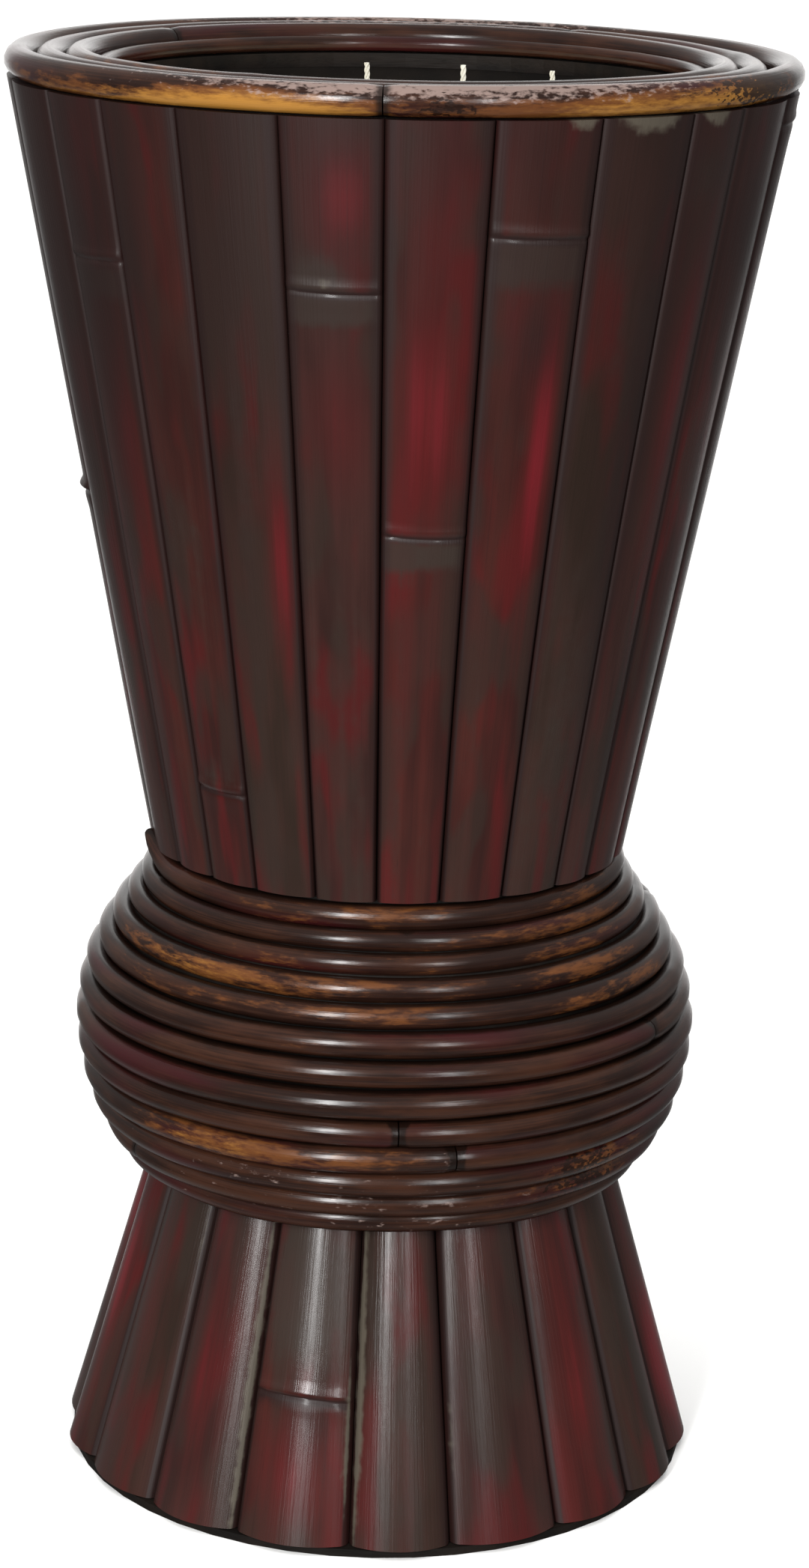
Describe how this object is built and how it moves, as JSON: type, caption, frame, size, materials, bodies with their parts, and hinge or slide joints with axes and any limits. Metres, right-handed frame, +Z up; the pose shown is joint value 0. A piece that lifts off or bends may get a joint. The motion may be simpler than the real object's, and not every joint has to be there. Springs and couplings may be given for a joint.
{
  "type": "tiki torch",
  "caption": "Free-standing split-bamboo vessel with a cane-bound waist and rim, holding a lift-out tin of wax with wicks.",
  "frame": {"origin": "centre of the base on the floor", "axes": "+Z up along the torch, -Y towards the front, +X to the right as seen from the front"},
  "size_m": [0.214, 0.214, 0.4],
  "materials": {
    "bamboo_red": "split bamboo, dark red stain under satin lacquer",
    "bamboo_plum": "split bamboo, plum-brown stain under satin lacquer",
    "bamboo_umber": "split bamboo, grey-brown stain under satin lacquer",
    "cane": "round rattan, dark stain rubbed through to gold in places, satin lacquer",
    "board": "plain wood, dark matt stain",
    "tin": "soot-dark enamel, satin",
    "wax": "candle wax, cream, semi-matt",
    "wick": "braided waxed cotton, unburnt",
    "tab": "stamped tinned steel"
  },
  "bodies": {
    "vessel": {"rim_hoop_outer": "cane", "rim_hoop_second": "cane", "rim_hoop_third": "cane", "rim_lip_cane": "cane", "rim_board": "board", "bowl_slat_01": "bamboo_red", "bowl_slat_02": "bamboo_red", "bowl_slat_03": "bamboo_umber", "bowl_slat_04": "bamboo_plum", "bowl_slat_05": "bamboo_red", "bowl_slat_06": "bamboo_red", "bowl_slat_07": "bamboo_umber", "bowl_slat_08": "bamboo_plum", "bowl_slat_09": "bamboo_red", "bowl_slat_10": "bamboo_red", "bowl_slat_11": "bamboo_umber", "bowl_slat_12": "bamboo_plum", "bowl_slat_13": "bamboo_red", "bowl_slat_14": "bamboo_red", "bowl_slat_15": "bamboo_umber", "bowl_slat_16": "bamboo_plum", "bowl_slat_17": "bamboo_red", "bowl_slat_18": "bamboo_red", "bowl_slat_19": "bamboo_umber", "bowl_slat_20": "bamboo_plum", "bowl_slat_21": "bamboo_red", "bowl_slat_22": "bamboo_red", "bowl_slat_23": "bamboo_umber", "bowl_slat_24": "bamboo_plum", "foot_slat_01": "bamboo_umber", "foot_slat_02": "bamboo_plum", "foot_slat_03": "bamboo_red", "foot_slat_04": "bamboo_umber", "foot_slat_05": "bamboo_plum", "foot_slat_06": "bamboo_red", "foot_slat_07": "bamboo_umber", "foot_slat_08": "bamboo_plum", "foot_slat_09": "bamboo_red", "foot_slat_10": "bamboo_umber", "foot_slat_11": "bamboo_plum", "foot_slat_12": "bamboo_red", "foot_slat_13": "bamboo_umber", "foot_slat_14": "bamboo_plum", "foot_slat_15": "bamboo_red", "foot_slat_16": "bamboo_umber", "foot_slat_17": "bamboo_plum", "foot_slat_18": "bamboo_red", "waist_cane_winding": "cane", "waist_core": "board", "base_board": "board", "candle_shelf": "board"},
    "candle": {"candle_tin": "tin", "candle_wax": "wax", "wick_1": "wick", "wick_tab_1": "tab", "wick_2": "wick", "wick_tab_2": "tab", "wick_3": "wick", "wick_tab_3": "tab"}
  },
  "joints": [
    {"name": "tin_lift", "type": "slide", "parent": "vessel", "child": "candle", "axis": [0, 0, 1], "range_m": [0, 0.1]}
  ]
}
